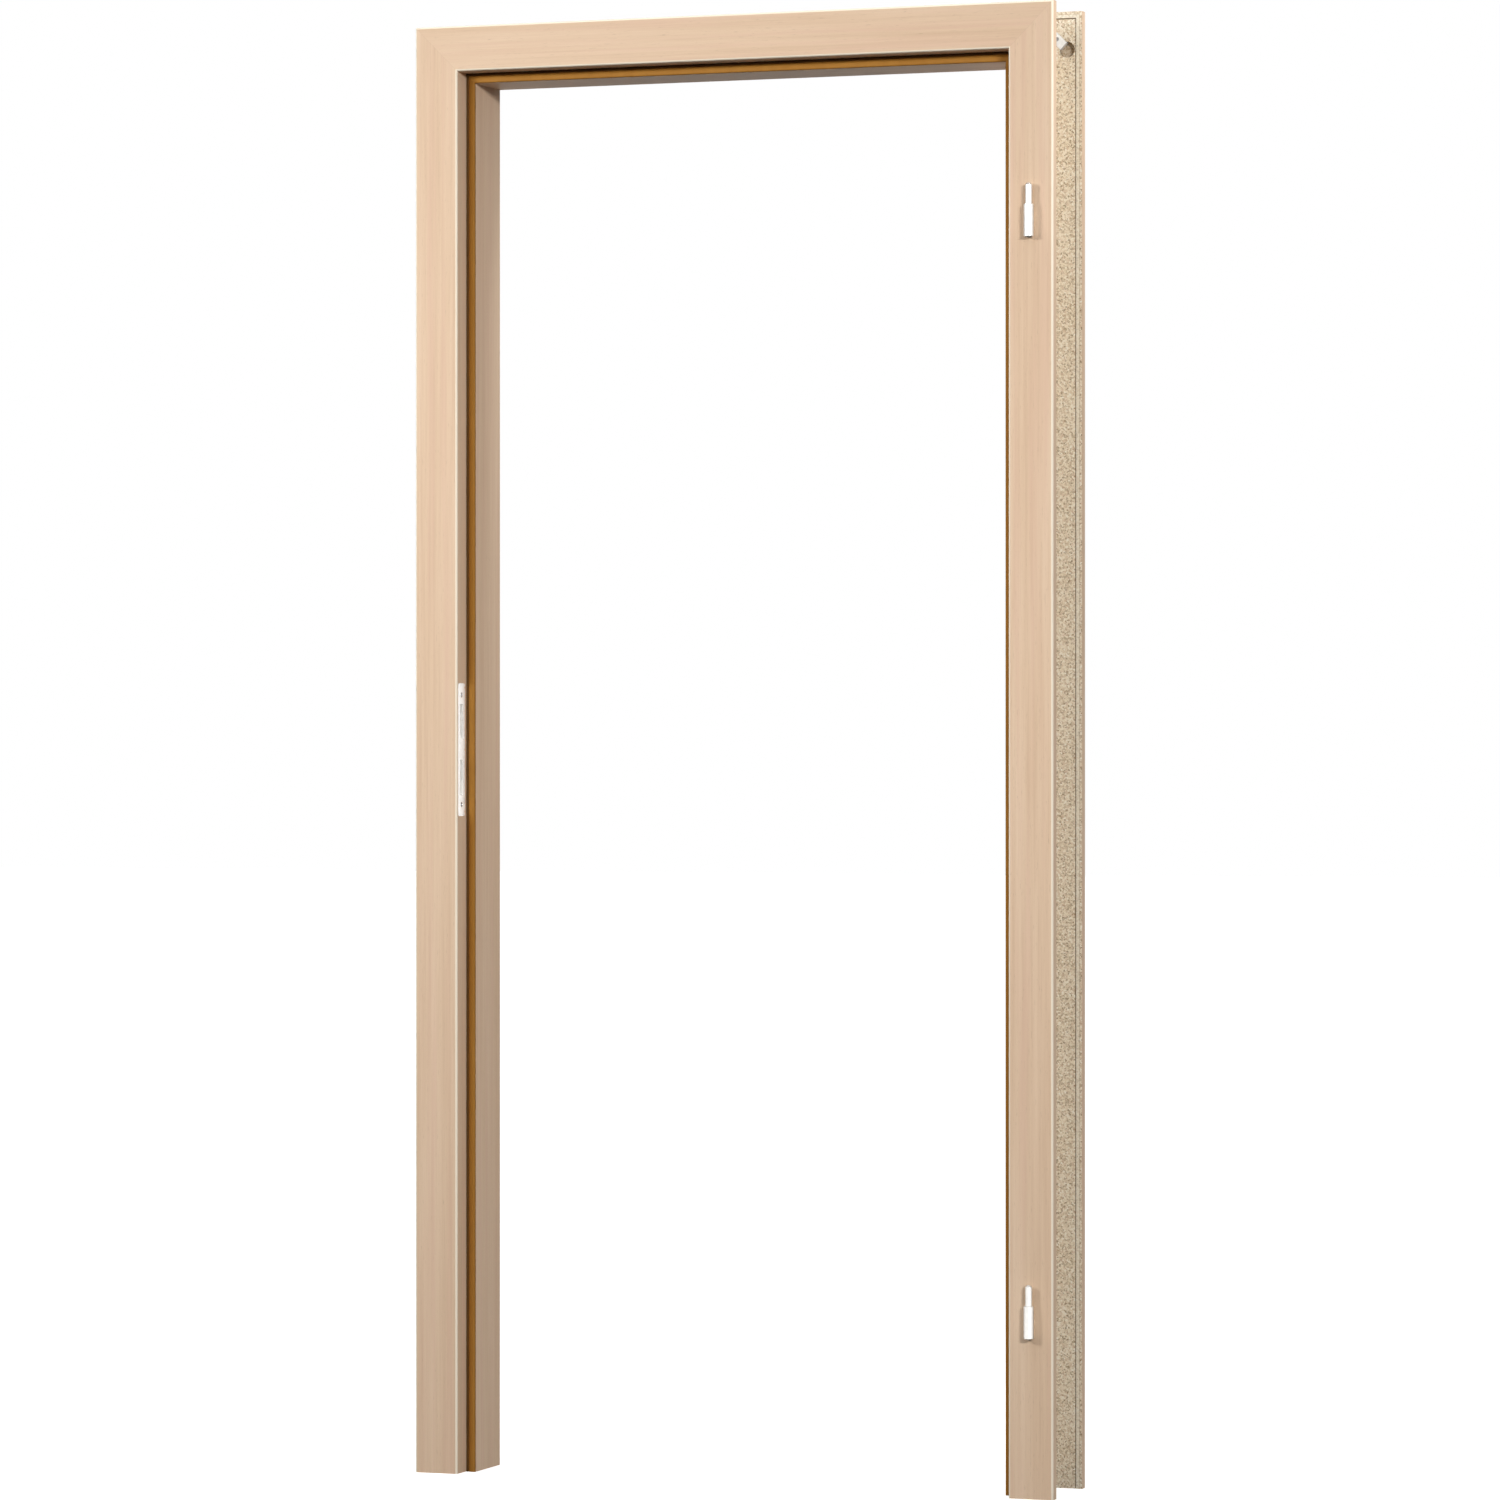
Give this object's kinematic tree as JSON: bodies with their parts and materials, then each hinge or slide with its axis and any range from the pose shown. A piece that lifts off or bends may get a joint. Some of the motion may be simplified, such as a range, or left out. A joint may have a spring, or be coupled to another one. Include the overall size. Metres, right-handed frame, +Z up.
{
  "type": "door frame",
  "caption": "Rebated interior door frame: mitred casings clasp the wall, the back one slides; seal, strike plate and hinge pins for one leaf.",
  "frame": {"origin": "on the floor, in the middle of the footprint", "axes": "+Z up along the jambs, +Y from the hinge face to the back casing, +X to the hinge side"},
  "size_m": [0.96, 0.1708, 2.08],
  "materials": {
    "veneered_board": "pale wood veneer with a fine straight grain, satin",
    "beech": "plain turned beech",
    "seal_rubber": "matt brown",
    "bright_nickel": "light satin nickel plate",
    "cast_zinc": "die-cast zinc, satin",
    "zinc_plated_steel": "zinc plate, satin"
  },
  "bodies": {
    "frame": {"front_casing_left": "veneered_board", "front_casing_right": "veneered_board", "front_casing_head": "veneered_board", "lining_left": "veneered_board", "lining_right": "veneered_board", "lining_head": "veneered_board", "seal_left": "seal_rubber", "seal_right": "seal_rubber", "seal_head": "seal_rubber", "mitre_connector_front_left": "cast_zinc", "mitre_connector_front_right": "cast_zinc", "wedge_screws_front": "zinc_plated_steel", "strike_plate": "bright_nickel", "strike_plate_screws": "bright_nickel", "hinge_knuckle_top": "bright_nickel", "hinge_pin_top": "bright_nickel", "hinge_receiver_top": "zinc_plated_steel", "hinge_knuckle_bottom": "bright_nickel", "hinge_pin_bottom": "bright_nickel", "hinge_receiver_bottom": "zinc_plated_steel", "hinge_clamp_screws": "zinc_plated_steel", "hinge_receiver_screws": "zinc_plated_steel", "lining_dowels_left": "beech", "lining_dowels_right": "beech"},
    "back_casing": {"back_casing_left": "veneered_board", "back_casing_right": "veneered_board", "back_casing_head": "veneered_board", "mitre_connector_back_left": "cast_zinc", "mitre_connector_back_right": "cast_zinc", "wedge_screws_back": "zinc_plated_steel"}
  },
  "joints": [
    {"name": "wall_thickness_slide", "type": "slide", "parent": "frame", "child": "back_casing", "axis": [0, 1, 0], "range_m": [-0.008, 0.012]}
  ]
}
